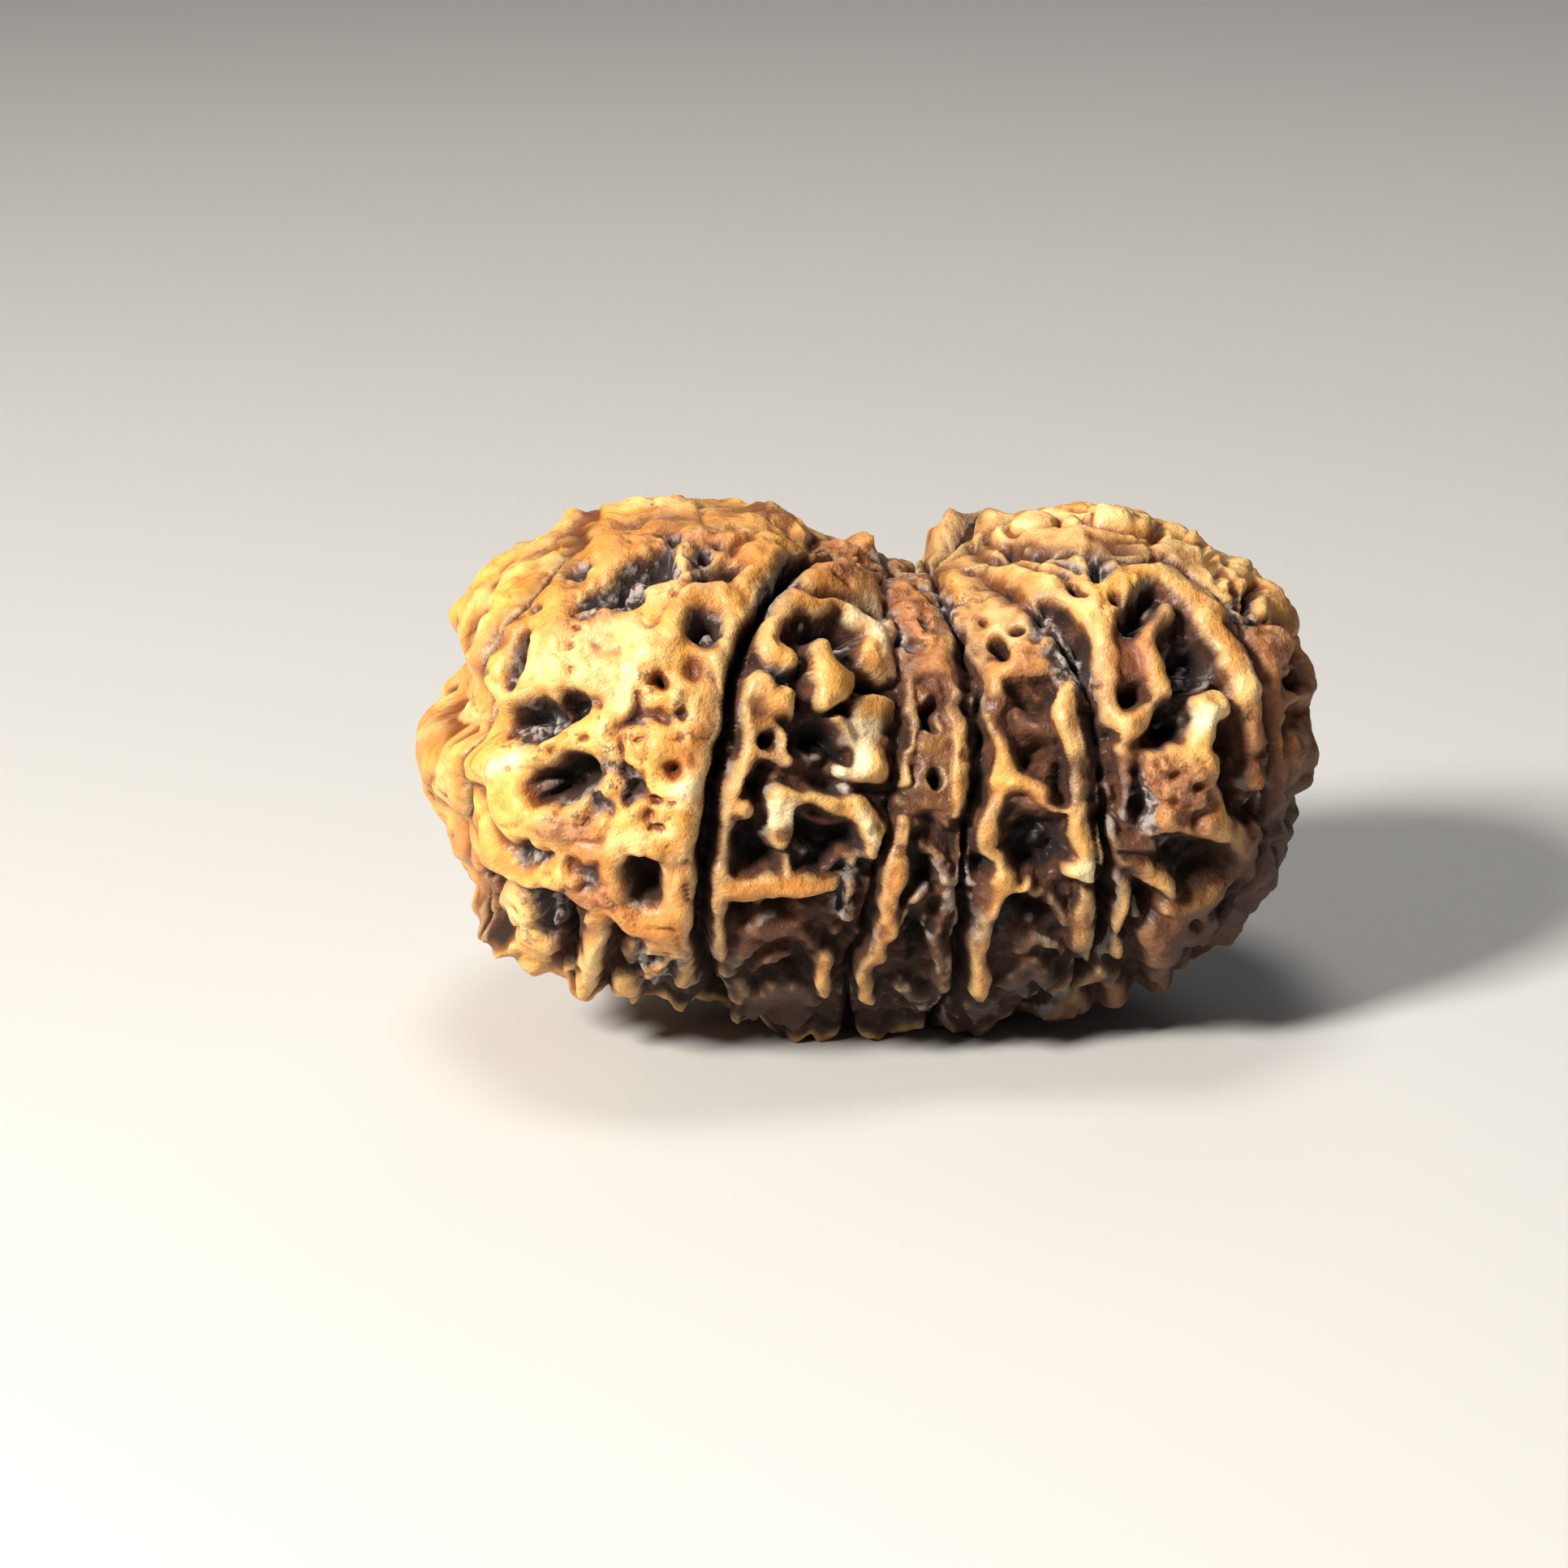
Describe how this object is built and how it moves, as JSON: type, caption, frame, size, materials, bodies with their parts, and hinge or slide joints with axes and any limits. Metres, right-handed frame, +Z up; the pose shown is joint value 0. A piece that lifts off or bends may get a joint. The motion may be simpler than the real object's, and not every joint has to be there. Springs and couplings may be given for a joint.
{
  "type": "gauri shankar rudraksha bead",
  "caption": "Two ridged rudraksha fruit stones grown together into one twin-lobed bead, with furrows from stalk end to tip and a raised net of bars and pits.",
  "frame": {"origin": "centre of the bead's bounding box, at the flat spot on its underside", "axes": "+X along the two lobes, towards the smaller lobe with the steeper shoulder; +Y away from the best-seen side; +Z up, towards the stalk notch"},
  "size_m": [0.0324, 0.0194, 0.0191],
  "materials": {
    "nut_stone": "satin, worn golden brown skin with darker pits and furrows"
  },
  "bodies": {
    "root": {"rudraksha_bead": "nut_stone"}
  },
  "joints": []
}
